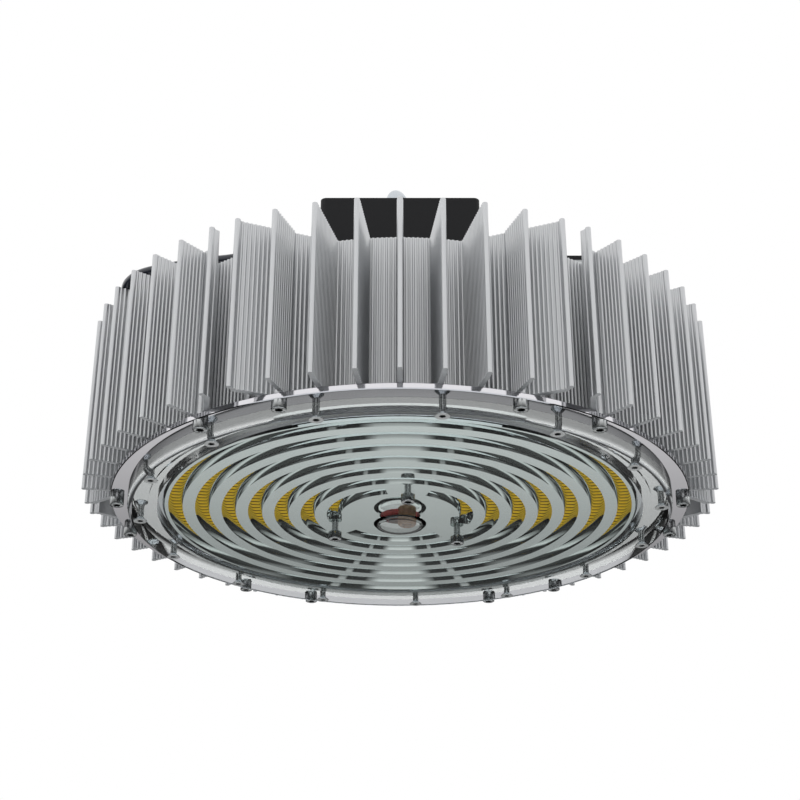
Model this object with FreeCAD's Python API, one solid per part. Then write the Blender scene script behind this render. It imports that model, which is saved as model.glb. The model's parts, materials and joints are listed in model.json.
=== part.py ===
import FreeCAD, Part
import math
import os

# High bay light, hung from one eyebolt. Millimetres, +Z up, origin at the centre of the eye.
# Six extruded heat sink segments stand in a ring on the flange of a turned base plate. The lamp side
# faces down: a clear cover, a mirror-finish reflector with ring channels and the rings of LEDs.
# On top: a driver tray on four pillars, a plate, a terminal box and the eyebolt.

os.makedirs("parts", exist_ok=True)
V = FreeCAD.Vector
UP = V(0, 0, 1)

# ---- heights, worked out downwards from the eye ----
eye_ring_outer_r = 18.0
eye_ring_inner_r = 10.0
box_height = 61.5
top_plate_thickness = 2.5
tray_height = 33.0
fin_height = 105.0
box_top_z = -eye_ring_outer_r
plate_top_z = box_top_z - box_height
tray_top_z = plate_top_z - top_plate_thickness
tray_bottom_z = tray_top_z - tray_height
fin_top_z = tray_bottom_z
fin_bottom_z = fin_top_z - fin_height

# ---- heat sink segments ----
segment_count = 6
segment_angle = 360.0 / segment_count
fins_each_side = 4
fin_pitch = 6.85
fin_tip_r = 200.0
fin_thickness = 2.0
fin_bead_r = 1.6
arc_wall_r = 154.0
wall_thickness = 3.0
arc_wall_half_angle = 14.3
closing_wall_r = 166.0
closing_wall_start = 18.5
closing_wall_end = 29.3
closing_wall_thickness = 2.4
diagonal_start = (38.0, 151.0)
diagonal_end_r = 194.0
port_circle_r = 177.8
port_angle = 21.5
port_outer_r = 3.9
port_hole_r = 2.1

# ---- base plate ----
base_flange_r = 182.0
base_flange_thickness = 3.6
base_drum_r = 153.5
base_drum_top = 13.0
base_edge_break = 0.5
reflector_seat_r = 150.0
reflector_seat_z = 5.0

# ---- reflector and LEDs ----
reflector_r = 149.5
reflector_face_z = -5.0
reflector_hub_hole_r = 13.0
channel_first_r = 141.8
channel_pitch = 16.6
channel_count = 7
channel_mouth = 8.9
channel_floor = 7.0
channel_floor_z = 3.6
led_width = 6.6
led_thickness = 1.2
bridge_width = 26.0

# ---- clear cover ----
cover_r = 171.5
cover_face_z = -10.8
cover_thickness = 3.0
cover_rim_inner_r = 153.0
cover_edge_radius = 3.0
gasket_thickness = 0.8
gasket_outer_r = 158.5
gasket_inner_r = 154.5
sensor_hole_r = 14.0

# ---- screws ----
outer_screw_circle_r = port_circle_r
outer_head_r = 4.25
outer_head_height = 3.5
outer_shank_r = 2.0
outer_shank_length = 14.0
inner_screw_count = 15
inner_screw_circle_r = 164.4
inner_screw_start = 8.0
inner_head_r = 4.3
inner_head_height = 2.3
inner_shank_r = 2.0
inner_screw_length = 10.4
centre_screw_circle_r = 46.0
centre_screw_angles = (6.0, 126.0, 246.0)
centre_screw_length = 20.0

# ---- driver tray and what stands on it ----
tray_half_x = 120.0
tray_half_y = 77.0
tray_sheet = 2.0
tray_bend_r = 3.0
tray_corner_r = 6.0
pillar_x = 110.0
pillar_y = 58.0
pillar_r = 7.0
pillar_screw_r = 2.5
pillar_spigot_r = 4.0
pillar_spigot_length = 6.0
driver_length = 205.0
driver_width = 56.0
driver_height = 28.0
driver_y = 34.0
driver_lug_width = 14.0
driver_lug_thickness = 3.0
driver_screw_x = 108.5
driver_screw_r = 1.7
top_plate_half_x = 121.0
top_plate_half_y = 78.0
box_half_x = 53.0
box_half_y = 50.0
box_wall = 2.5
box_corner_r = 4.0
lid_thickness = 3.0
lid_screw_x = 44.0
lid_screw_y = 41.0
lid_screw_r = 2.0
lid_screw_length = 14.0
lid_boss_reach = 5.0
screw_clearance = 0.2
eye_stock_r = 4.0
eye_collar_r = 10.0
eye_collar_height = 6.0
eye_shank_r = 3.9
eye_shank_length = 13.0
eye_turn = 65.0

# ---- link lead and its glands ----
gland_thread_r = 6.0
gland_thread_length = 6.0
gland_hex = 17.0
gland_hex_length = 5.0
gland_nut_r = 8.0
gland_nut_length = 5.0
gland_dome_length = 4.0
gland_nose_r = 5.0
gland_locknut_length = 2.5
box_gland_y = -20.0
box_gland_z = plate_top_z + 17.5
tray_gland_y = -44.0
tray_gland_z = tray_bottom_z + 18.0
lead_r = 4.0
# the lead's route from the box to the tray, with heights above the fins' bottom plane
lead_route = [
    (-67, -20, 158), (-83, -20, 158), (-95, -32, 157), (-98, -48, 154.5), (-95, -64, 152), (-90, -80, 148),
    (-84, -95, 139.5), (-80, -108, 128), (-84, -118.5, 117), (-97, -122.5, 110.5), (-113, -121, 109.5),
    (-129, -117, 109.5), (-145, -112, 109.5), (-159, -105.5, 109.5), (-167.5, -94, 109.5), (-169, -79, 111),
    (-164.5, -64, 115), (-158.5, -51, 119.5), (-148.5, -44, 123), (-134, -44, 123)]
plate_screw_x = 108.0
plate_screw_y = 69.0
plate_screw_r = 2.0
plate_screw_length = 4.3
tray_flange = 13.0
box_screw_x = 30.0
box_screw_y = 30.0
box_screw_r = 2.0
box_screw_length = 4.8


def place(shape):
    """Moves a shape that was drawn with the fins' bottom plane at zero to its place under the eye."""
    moved = shape.copy()
    moved.translate(V(0, 0, fin_bottom_z))
    return moved


def export(name, shape):
    if not shape.isValid():
        raise ValueError(name + " is not valid")
    shape.exportStep("parts/" + name + ".step")
    count = len(shape.Solids)
    print(name, count, "solid" + ("s" if count > 1 else ""), round(shape.Volume / 1000.0, 2), "cm3")


def polar(r, degrees, z=0.0):
    """A point at radius r, measured from the front (-Y) towards +X."""
    a = math.radians(degrees)
    return V(r * math.sin(a), -r * math.cos(a), z)


def turned(points):
    """A ring or disc turned about Z from its half section, a list of (radius, height)."""
    wire = Part.makePolygon([V(r, 0, z) for r, z in points + points[:1]])
    return Part.Face(wire).revolve(V(0, 0, 0), UP, 360)


def tube(outer_r, inner_r, height, z):
    return Part.makeCylinder(outer_r, height, V(0, 0, z)).cut(
        Part.makeCylinder(inner_r, height, V(0, 0, z)))


def group(shapes):
    return Part.makeCompound(shapes)


def hexagon(across_flats, height, base):
    r = across_flats / math.sqrt(3.0)
    corners = [base + V(r * math.cos(math.radians(60 * k)), r * math.sin(math.radians(60 * k)), 0)
               for k in range(7)]
    return Part.Face(Part.makePolygon(corners)).extrude(V(0, 0, height))


# ---- heat sink ----

def flat_bar(start, end, thickness):
    """A flat rectangular face between two plan points."""
    along = (end - start).normalize()
    side = V(-along.y, along.x, 0) * (thickness / 2.0)
    return Part.Face(Part.makePolygon([start + side, end + side, end - side, start - side, start + side]))


def disc(centre, r):
    return Part.Face(Part.Wire(Part.makeCircle(r, centre, UP)))


def arc_wall():
    a = math.radians(arc_wall_half_angle)
    outline = []
    for r in (arc_wall_r, arc_wall_r + wall_thickness):
        ends = [V(r * math.sin(t), -r * math.cos(t), 0) for t in (-a, 0, a)]
        outline.append(ends)
    inner, outer = outline
    edges = [Part.Arc(*inner).toShape(), Part.makeLine(inner[2], outer[2]),
             Part.Arc(*outer[::-1]).toShape(), Part.makeLine(outer[0], inner[0])]
    return Part.Face(Part.Wire(edges))


def diagonal_line(side):
    start = V(side * diagonal_start[0], -diagonal_start[1], 0)
    return start, polar(diagonal_end_r, side * fins_each_side * fin_pitch)


def fin_root(angle):
    """Where a fin leaves the wall behind it: the arc wall, or the diagonal wall near the segment's ends."""
    if abs(angle) < arc_wall_half_angle:
        return polar(arc_wall_r + wall_thickness / 2.0, angle)
    start, end = diagonal_line(math.copysign(1, angle))
    a = math.radians(angle)
    ray = V(math.sin(a), -math.cos(a), 0)
    run = end - start
    reach = (start.x * run.y - start.y * run.x) / (ray.x * run.y - ray.y * run.x)
    return ray * reach


def prism(face):
    return face.extrude(V(0, 0, fin_height))


def heatsink_segment():
    """One extrusion: an arc wall, two diagonal walls, nine fins and two screw ports."""
    faces = []
    for side in (-1, 1):
        start, end = diagonal_line(side)
        faces.append(flat_bar(start, end, wall_thickness))
        faces.append(disc(end, wall_thickness / 2.0))
        faces.append(disc(polar(port_circle_r, side * port_angle), port_outer_r))
        faces.append(flat_bar(polar(closing_wall_r, side * closing_wall_start),
                              polar(closing_wall_r, side * closing_wall_end), closing_wall_thickness))
    for k in range(-fins_each_side, fins_each_side + 1):
        angle = k * fin_pitch
        tip = polar(fin_tip_r - fin_bead_r, angle)
        faces.append(flat_bar(fin_root(angle), tip, fin_thickness))
        faces.append(disc(tip, fin_bead_r))
    solid = prism(arc_wall()).fuse([prism(face) for face in faces])
    solid = solid.cut([prism(disc(polar(port_circle_r, side * port_angle), port_hole_r)) for side in (-1, 1)])
    return solid.removeSplitter().Solids[0]


# ---- base plate, gasket, reflector, LEDs and cover ----

def outer_screw_angles():
    return [segment_angle * s + side * port_angle for s in range(segment_count) for side in (-1, 1)]


def inner_screw_angles():
    return [inner_screw_start + 360.0 * k / inner_screw_count for k in range(inner_screw_count)]


def holes(r, angles, hole_r, z_low, z_high):
    return [Part.makeCylinder(hole_r, z_high - z_low, polar(r, a, z_low)) for a in angles]


def base_plate():
    t = base_flange_thickness
    c = base_edge_break
    plate = turned([(0, reflector_seat_z), (reflector_seat_r, reflector_seat_z), (reflector_seat_r, -t),
                    (base_flange_r - c, -t), (base_flange_r, -t + c), (base_flange_r, -c),
                    (base_flange_r - c, 0), (base_drum_r, 0), (base_drum_r, base_drum_top),
                    (0, base_drum_top)])
    cuts = holes(outer_screw_circle_r, outer_screw_angles(), outer_shank_r + 0.3, -t - 1, 1)
    cuts += holes(inner_screw_circle_r, inner_screw_angles(), inner_shank_r, -t - 1, 1)
    cuts += holes(centre_screw_circle_r, centre_screw_angles, outer_shank_r,
                  reflector_seat_z - 1, cover_face_z + centre_screw_length)
    cuts += four_cylinders(pillar_spigot_r, pillar_x, pillar_y,
                           base_drum_top - pillar_spigot_length, base_drum_top + 1)
    return plate.cut(cuts)


def reflector():
    top = reflector_seat_z
    face = reflector_face_z
    body = turned([(reflector_hub_hole_r, face), (reflector_r - 1.0, face), (reflector_r, face + 1.0),
                   (reflector_r, top), (reflector_hub_hole_r, top)])
    for k in range(channel_count):
        r = channel_first_r - k * channel_pitch
        m, f = channel_mouth / 2.0, channel_floor / 2.0
        groove = turned([(r - m, face), (r - f, channel_floor_z), (r + f, channel_floor_z), (r + m, face)])
        if k == channel_count - 1:
            groove = groove.cut(bridges())
        body = body.cut(groove)
    return body.cut(holes(centre_screw_circle_r, centre_screw_angles, outer_shank_r + 0.3, face - 1, top + 1))


def bridges():
    """Blocks that stay uncut where the centre screws pass through the innermost channel."""
    blocks = []
    for angle in centre_screw_angles:
        block = Part.makeBox(bridge_width, channel_pitch * 1.6, 20,
                             V(-bridge_width / 2.0, -centre_screw_circle_r - channel_pitch * 0.8, -10))
        block.rotate(V(0, 0, 0), UP, angle)
        blocks.append(block)
    return blocks


def led_ring(k):
    r = channel_first_r - k * channel_pitch
    ring = tube(r + led_width / 2.0, r - led_width / 2.0, led_thickness, channel_floor_z - led_thickness)
    if k == channel_count - 1:
        return ring.cut(bridges())
    return ring


def gasket():
    return tube(gasket_outer_r, gasket_inner_r, gasket_thickness, -base_flange_thickness - gasket_thickness)


def clear_cover():
    """A clear disc with a solid rim that stands on the flange and grips the gasket in a groove."""
    low, top = cover_face_z, -base_flange_thickness
    edge = [(cover_r - cover_edge_radius * (1 - math.sin(t)), low + cover_edge_radius * (1 - math.cos(t)))
            for t in (0, math.pi / 6, math.pi / 3, math.pi / 2)]
    shell = turned([(sensor_hole_r, low)] + edge + [
        (cover_r, top), (gasket_outer_r, top), (gasket_outer_r, top - gasket_thickness),
        (gasket_inner_r, top - gasket_thickness), (gasket_inner_r, top), (cover_rim_inner_r, top),
        (cover_rim_inner_r, low + cover_thickness), (sensor_hole_r, low + cover_thickness)])
    cuts = holes(inner_screw_circle_r, inner_screw_angles(), inner_shank_r + 0.2, low - 1, 0)
    cuts += [Part.makeCone(inner_head_r, inner_shank_r, inner_head_height, polar(inner_screw_circle_r, a, low))
             for a in inner_screw_angles()]
    cuts += holes(centre_screw_circle_r, centre_screw_angles, outer_shank_r + 0.2, low - 1, 0)
    return shell.cut(cuts)


def cap_screw(length):
    """Low-head screw, pointing up, with the underside of its head at zero."""
    head = Part.makeCylinder(outer_head_r, outer_head_height, V(0, 0, -outer_head_height))
    return head.fuse(Part.makeCylinder(outer_shank_r, length)).removeSplitter()


def countersunk_screw():
    """Flat-head screw, pointing up, with the face of its head at zero."""
    head = Part.makeCone(inner_head_r, inner_shank_r, inner_head_height)
    return head.fuse(Part.makeCylinder(inner_shank_r, inner_screw_length)).removeSplitter()


def on_circle(shape, r, angles, z):
    copies = []
    for a in angles:
        copy = shape.copy()
        copy.rotate(V(0, 0, 0), UP, a)
        copy.translate(polar(r, a, z))
        copies.append(copy)
    return group(copies)


# ---- sensor ----

def sensor_window():
    low = cover_face_z - 2.2
    flange_r = 16.7
    return turned([(0, low), (13.5, low), (15.2, low + 0.7), (flange_r, cover_face_z),
                   (sensor_hole_r, cover_face_z), (sensor_hole_r - 1.8, low + 1.6), (0, low + 1.6)])


def sensor_board():
    return Part.makeCylinder(reflector_hub_hole_r - 0.5, 1.6, V(0, 0, reflector_seat_z - 1.6))


def sensor_eye():
    body = Part.makeCylinder(4.8, 5.5, V(4.5, 0, reflector_seat_z - 1.6 - 5.5))
    bottom = [e for e in body.Edges if e.BoundBox.ZMax < body.BoundBox.ZMin + 0.01]
    return body.makeChamfer(1.0, bottom)


# ---- top side; heights here are real heights under the eye ----

def four_copies(shape, x, y, z):
    """The same shape at (+-x, +-y), as one group."""
    copies = []
    for sx in (-1, 1):
        for sy in (-1, 1):
            copy = shape.copy()
            copy.translate(V(sx * x, sy * y, z))
            copies.append(copy)
    return group(copies)


def four_cylinders(r, x, y, z_low, z_high):
    return [Part.makeCylinder(r, z_high - z_low, V(sx * x, sy * y, z_low))
            for sx in (-1, 1) for sy in (-1, 1)]


def pillars():
    """Posts with a threaded spigot in the base plate and a tapped hole for the tray's screw."""
    low = fin_bottom_z + base_drum_top
    height = tray_bottom_z - low
    post = Part.makeCylinder(pillar_r, height).fuse(
        Part.makeCylinder(pillar_spigot_r, pillar_spigot_length, V(0, 0, -pillar_spigot_length)))
    post = post.removeSplitter().cut(Part.makeCylinder(pillar_screw_r, 14, V(0, 0, height - 14)))
    return four_copies(post, pillar_x, pillar_y, low)


def pillar_screws():
    return four_copies(pan_screw(4.4, 2.4, pillar_screw_r, 12.0), pillar_x, pillar_y,
                       tray_bottom_z + tray_sheet)


def pan_screw(head_r, head_height, shank_r, length):
    """Plain screw, pointing down, with the underside of its head at zero."""
    head = Part.makeCylinder(head_r, head_height)
    return head.fuse(Part.makeCylinder(shank_r, length, V(0, 0, -length))).removeSplitter()


def driver_tray():
    """A pressed pan, open at the top, with a flange along the top of its two long walls."""
    low, wall = tray_bottom_z, tray_sheet
    outer = rounded_slab(tray_half_x, tray_half_y, low, tray_height, tray_corner_r)
    outer = outer.makeFillet(tray_bend_r, [e for e in outer.Edges if e.BoundBox.ZMax < low + 0.01])
    inner = rounded_slab(tray_half_x - wall, tray_half_y - wall, low + wall, tray_height,
                         tray_corner_r - wall)
    tray = outer.cut(inner)
    for side in (-1, 1):
        flange = Part.makeBox(2 * (tray_half_x - tray_corner_r), tray_flange, wall,
                              V(tray_corner_r - tray_half_x, 0, tray_top_z - wall))
        flange.translate(V(0, side * (tray_half_y - tray_flange / 2.0) - tray_flange / 2.0, 0))
        tray = tray.fuse(flange)
    cuts = four_cylinders(pillar_screw_r, pillar_x, pillar_y, low - 1, low + wall + 1)
    cuts += four_cylinders(plate_screw_r, plate_screw_x, plate_screw_y, tray_top_z - wall - 1, tray_top_z + 1)
    cuts += four_cylinders(driver_screw_r, driver_screw_x, driver_y, low - 1, low + wall + 1)
    cuts.append(gland_hole(-tray_half_x, tray_gland_y, tray_gland_z))
    return tray.removeSplitter().cut(cuts)


def driver(side):
    z = tray_bottom_z + tray_sheet
    body = Part.makeBox(driver_length, driver_width, driver_height,
                        V(-driver_length / 2.0, side * driver_y - driver_width / 2.0, z))
    long_edges = [e for e in body.Edges if abs(e.Length - driver_length) < 0.01 and e.BoundBox.ZMin > z + 1]
    body = body.makeFillet(3.0, long_edges)
    reach = driver_screw_x + driver_lug_width / 4.0
    lugs = Part.makeBox(2 * reach, driver_lug_width, driver_lug_thickness,
                        V(-reach, side * driver_y - driver_lug_width / 2.0, z))
    screw_holes = [Part.makeCylinder(driver_screw_r, driver_height,
                                     V(sx * driver_screw_x, side * driver_y, z - 1)) for sx in (-1, 1)]
    return body.fuse(lugs).removeSplitter().cut(screw_holes)


def driver_screws():
    return four_copies(pan_screw(3.2, 1.8, driver_screw_r, driver_lug_thickness + tray_sheet), driver_screw_x,
                       driver_y, tray_bottom_z + tray_sheet + driver_lug_thickness)


def rounded_slab(half_x, half_y, low, height, corner_r):
    slab = Part.makeBox(2 * half_x, 2 * half_y, height, V(-half_x, -half_y, low))
    return slab.makeFillet(corner_r, [e for e in slab.Edges if abs(e.Length - height) < 0.01
                                      and abs(e.BoundBox.ZLength - height) < 0.01])


def top_plate():
    low, high = tray_top_z - 1, plate_top_z + 1
    plate = rounded_slab(top_plate_half_x, top_plate_half_y, tray_top_z, top_plate_thickness, tray_corner_r)
    return plate.cut(four_cylinders(box_screw_r, box_screw_x, box_screw_y, low, high)
                     + four_cylinders(plate_screw_r, plate_screw_x, plate_screw_y, low, high))


def plate_screws():
    return four_copies(pan_screw(3.8, 2.0, plate_screw_r, plate_screw_length), plate_screw_x, plate_screw_y,
                       plate_top_z)


def terminal_box():
    height = box_height - lid_thickness
    outer = rounded_slab(box_half_x, box_half_y, plate_top_z, height, box_corner_r)
    inner = rounded_slab(box_half_x - box_wall, box_half_y - box_wall, plate_top_z + box_wall,
                         height - box_wall, box_corner_r - 1.5)
    box = outer.cut(inner)
    low = plate_top_z
    boss = Part.makeBox(box_half_x, box_half_y, height,
                        V(lid_screw_x - lid_boss_reach, lid_screw_y - lid_boss_reach, low)).common(outer)
    for normal in (V(1, 0, 0), V(0, 1, 0)):
        boss = boss.fuse(boss.mirror(V(), normal))
    box = box.fuse(boss).removeSplitter()
    cuts = four_cylinders(lid_screw_r, lid_screw_x, lid_screw_y, box_top_z - lid_screw_length, box_top_z)
    cuts += four_cylinders(box_screw_r, box_screw_x, box_screw_y, low - 1, low + 10)
    cuts.append(gland_hole(-box_half_x, box_gland_y, box_gland_z))
    return box.cut(cuts).Solids[0]


def box_lid():
    lid = rounded_slab(box_half_x, box_half_y, box_top_z - lid_thickness, lid_thickness, box_corner_r)
    lid = lid.cut(Part.makeCylinder(eye_shank_r, 20, V(0, 0, box_top_z - 10)))
    return lid.cut(four_cylinders(lid_screw_r + screw_clearance, lid_screw_x, lid_screw_y,
                                  box_top_z - 10, box_top_z + 1))


def box_screws():
    return four_copies(pan_screw(3.8, 2.0, box_screw_r, box_screw_length), box_screw_x, box_screw_y,
                       plate_top_z + box_wall)


def lid_screws():
    return four_copies(pan_screw(3.8, 2.0, lid_screw_r, lid_screw_length), lid_screw_x, lid_screw_y,
                       box_top_z)


def eyebolt():
    mean_r = (eye_ring_outer_r + eye_ring_inner_r) / 2.0
    ring = Part.makeTorus(mean_r, eye_stock_r, V(0, 0, 0), V(0, 1, 0))
    collar = Part.makeCylinder(eye_collar_r, eye_collar_height, V(0, 0, box_top_z))
    collar = collar.cut(Part.makeCylinder(eye_ring_inner_r, 30, V(0, -15, 0), V(0, 1, 0)))
    shank = Part.makeCylinder(eye_shank_r, eye_shank_length, V(0, 0, box_top_z - eye_shank_length))
    bolt = ring.fuse([collar, shank]).removeSplitter()
    bolt.rotate(V(0, 0, 0), UP, eye_turn)
    return bolt


def eyebolt_nut():
    low = box_top_z - lid_thickness - 6.5
    nut = hexagon(13.0, 6.5, V(0, 0, low))
    return nut.cut(Part.makeCylinder(eye_shank_r, 10, V(0, 0, low - 1)))


# ---- link lead between the terminal box and the driver tray, with a gland at each end ----

def gland_hole(wall_x, y, z):
    return Part.makeCylinder(gland_thread_r, 12, V(wall_x - 1, y, z), V(1, 0, 0))


def facing_left(shape, wall_x, y, z):
    """Turns a shape drawn along +Z so that it points to -X, and sets it on a wall."""
    turned_shape = shape.copy()
    turned_shape.rotate(V(0, 0, 0), V(0, 1, 0), -90)
    turned_shape.translate(V(wall_x, y, z))
    return turned_shape


def gland():
    """Thread, hexagon and dome nut, with the wall's outer face at zero."""
    thread = Part.makeCylinder(gland_thread_r, gland_thread_length, V(0, 0, -gland_thread_length))
    body = hexagon(gland_hex, gland_hex_length, V(0, 0, 0))
    nut = Part.makeCylinder(gland_nut_r, gland_nut_length, V(0, 0, gland_hex_length))
    dome = Part.makeCone(gland_nut_r, gland_nose_r, gland_dome_length,
                         V(0, 0, gland_hex_length + gland_nut_length))
    return thread.fuse([body, nut, dome]).removeSplitter()


def gland_nuts():
    nut = hexagon(gland_hex, gland_locknut_length, V(0, 0, 0)).cut(Part.makeCylinder(gland_thread_r, 10))
    return group([facing_left(nut, wall_x + wall + gland_locknut_length, y, z)
                  for wall_x, wall, y, z in ((-box_half_x, box_wall, box_gland_y, box_gland_z),
                                             (-tray_half_x, tray_sheet, tray_gland_y, tray_gland_z))])


def rounded_path(points):
    """Straight runs joined by tangent arcs, each as large as its two runs allow."""
    edges, radii = [], []
    reached = points[0]
    for before, corner, after in zip(points, points[1:], points[2:]):
        back, on = (before - corner), (after - corner)
        short_run = min(back.Length, on.Length)
        half_turn = (math.pi - back.getAngle(on)) / 2.0
        cut = 0.45 * short_run
        radius = cut / math.tan(half_turn)
        back.normalize()
        on.normalize()
        start, end = corner + back * cut, corner + on * cut
        inward = (back + on).normalize()
        middle = corner + inward * (radius / math.cos(half_turn) - radius)
        edges += [Part.makeLine(reached, start), Part.Arc(start, middle, end).toShape()]
        reached = end
        radii.append(round(radius))
    edges.append(Part.makeLine(reached, points[-1]))
    print("link lead bend radii, mm:", radii)
    return Part.Wire(edges)


def link_lead():
    path = rounded_path([V(x, y, z + fin_bottom_z) for x, y, z in lead_route])
    start = lead_route[0]
    profile = Part.Wire(Part.makeCircle(lead_r, V(start[0], start[1], start[2] + fin_bottom_z), V(-1, 0, 0)))
    solid = path.makePipeShell([profile], True, True)
    print("link lead length %.1f mm, volume over section %.1f mm"
          % (path.Length, solid.Volume / (math.pi * lead_r ** 2)))
    return solid


def build():
    segment = heatsink_segment()
    for k in range(segment_count):
        copy = segment.copy()
        copy.rotate(V(0, 0, 0), UP, k * segment_angle)
        export("heatsink_segment_%d" % (k + 1), place(copy))
    export("base_plate", place(base_plate()))
    export("reflector", place(reflector()))
    for k in range(channel_count):
        export("led_ring_%d" % (k + 1), place(led_ring(k)))
    export("cover_gasket", place(gasket()))
    export("clear_cover", place(clear_cover()))
    screw = cap_screw(outer_shank_length)
    export("outer_screws", place(on_circle(screw, outer_screw_circle_r, outer_screw_angles(),
                                           -base_flange_thickness)))
    export("inner_screws", place(on_circle(countersunk_screw(), inner_screw_circle_r, inner_screw_angles(),
                                           cover_face_z)))
    export("centre_screws", place(on_circle(cap_screw(centre_screw_length), centre_screw_circle_r,
                                            centre_screw_angles, cover_face_z)))
    export("sensor_window", place(sensor_window()))
    export("sensor_board", place(sensor_board()))
    export("sensor_eye", place(sensor_eye()))
    export("pillars", pillars())
    export("pillar_screws", pillar_screws())
    export("driver_tray", driver_tray())
    export("driver_1", driver(-1))
    export("driver_2", driver(1))
    export("driver_screws", driver_screws())
    export("top_plate", top_plate())
    export("plate_screws", plate_screws())
    export("terminal_box", terminal_box())
    export("box_lid", box_lid())
    export("lid_screws", lid_screws())
    export("box_screws", box_screws())
    export("eyebolt", eyebolt())
    export("eyebolt_nut", eyebolt_nut())
    export("box_gland", facing_left(gland(), -box_half_x, box_gland_y, box_gland_z))
    export("tray_gland", facing_left(gland(), -tray_half_x, tray_gland_y, tray_gland_z))
    export("gland_nuts", gland_nuts())
    export("link_lead", link_lead())


build()
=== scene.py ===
import json
import math
import bpy
import bmesh
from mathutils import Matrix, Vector


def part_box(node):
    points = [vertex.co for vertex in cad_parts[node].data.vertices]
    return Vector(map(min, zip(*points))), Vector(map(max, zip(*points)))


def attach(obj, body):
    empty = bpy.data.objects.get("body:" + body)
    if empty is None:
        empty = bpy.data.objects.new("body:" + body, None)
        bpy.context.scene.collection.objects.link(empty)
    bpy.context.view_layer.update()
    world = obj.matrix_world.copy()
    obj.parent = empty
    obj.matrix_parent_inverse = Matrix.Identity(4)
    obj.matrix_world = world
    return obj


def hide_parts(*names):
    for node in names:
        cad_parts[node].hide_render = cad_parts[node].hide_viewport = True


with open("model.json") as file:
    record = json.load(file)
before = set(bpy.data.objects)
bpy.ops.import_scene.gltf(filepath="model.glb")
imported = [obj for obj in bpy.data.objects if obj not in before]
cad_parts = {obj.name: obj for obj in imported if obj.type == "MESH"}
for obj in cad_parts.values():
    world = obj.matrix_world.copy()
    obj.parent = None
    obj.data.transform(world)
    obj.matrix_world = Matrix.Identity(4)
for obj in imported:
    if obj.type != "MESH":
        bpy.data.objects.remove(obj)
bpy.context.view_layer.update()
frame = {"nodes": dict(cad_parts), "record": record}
print("frame loaded,", len(frame["nodes"]), "nodes")

mm = 0.001
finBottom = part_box("heatsink_segment_1")[0].z      # lower ends of the fins
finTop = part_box("heatsink_segment_1")[1].z


def polar(r, degrees, z=0.0):      # from the front, turning towards +X
    a = math.radians(degrees)
    return Vector((r * math.sin(a), -r * math.cos(a), z))


# camera
viewer = {"place": (0, -0.8986, -0.573), "tilt": 115.548, "lens": 67.84, "sensor": 36}


def makeCamera():
    data = bpy.data.cameras.new("viewer")
    data.lens = viewer["lens"]
    data.sensor_width = viewer["sensor"]
    camera = bpy.data.objects.new("viewer", data)
    camera.location = viewer["place"]
    camera.rotation_euler = (math.radians(viewer["tilt"]), 0, 0)
    bpy.context.scene.collection.objects.link(camera)
    bpy.context.scene.camera = camera


makeCamera()


# link lead, with the same points as the solid tube
leadCord = {
    "diameter": 0.008, "length": 0.298, "roundness": 5, "stepsPerPoint": 10,
    "route": [(-67, -20, 158), (-83, -20, 158), (-95, -32, 157), (-98, -48, 154.5), (-95, -64, 152),
              (-90, -80, 148), (-84, -95, 139.5), (-80, -108, 128), (-84, -118.5, 117), (-97, -122.5, 110.5),
              (-113, -121, 109.5), (-129, -117, 109.5), (-145, -112, 109.5), (-159, -105.5, 109.5),
              (-167.5, -94, 109.5), (-169, -79, 111), (-164.5, -64, 115), (-158.5, -51, 119.5),
              (-148.5, -44, 123), (-134, -44, 123)],
}


def makeLead(material):
    data = bpy.data.curves.new("link_lead_cord", "CURVE")
    data.dimensions = "3D"
    data.bevel_depth = leadCord["diameter"] / 2
    data.bevel_resolution = leadCord["roundness"]
    data.resolution_u = leadCord["stepsPerPoint"]
    data.use_fill_caps = True
    spline = data.splines.new("NURBS")
    spline.points.add(len(leadCord["route"]) - 1)
    for point, (x, y, z) in zip(spline.points, leadCord["route"]):
        point.co = (x * mm, y * mm, z * mm + finBottom, 1)
    spline.order_u = 3
    spline.use_endpoint_u = True
    lead = bpy.data.objects.new("link_lead_cord", data)
    bpy.context.scene.collection.objects.link(lead)
    data.materials.append(material)
    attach(lead, "root")
    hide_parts("link_lead")
    x, y, z = leadCord["route"][0]


# shader node groups
def newGroup(name, inputs, outputs):
    group = bpy.data.node_groups.new(name, "ShaderNodeTree")
    for label, kind, value in inputs:
        socket = group.interface.new_socket(label, in_out="INPUT", socket_type=kind)
        socket.default_value = value
    for label, kind in outputs:
        group.interface.new_socket(label, in_out="OUTPUT", socket_type=kind)
    return group, group.nodes.new("NodeGroupInput"), group.nodes.new("NodeGroupOutput")


grainShape = {"detail": 3, "noiseLow": 0.3, "noiseHigh": 0.7, "bumpHeight": 0.0004}


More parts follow.
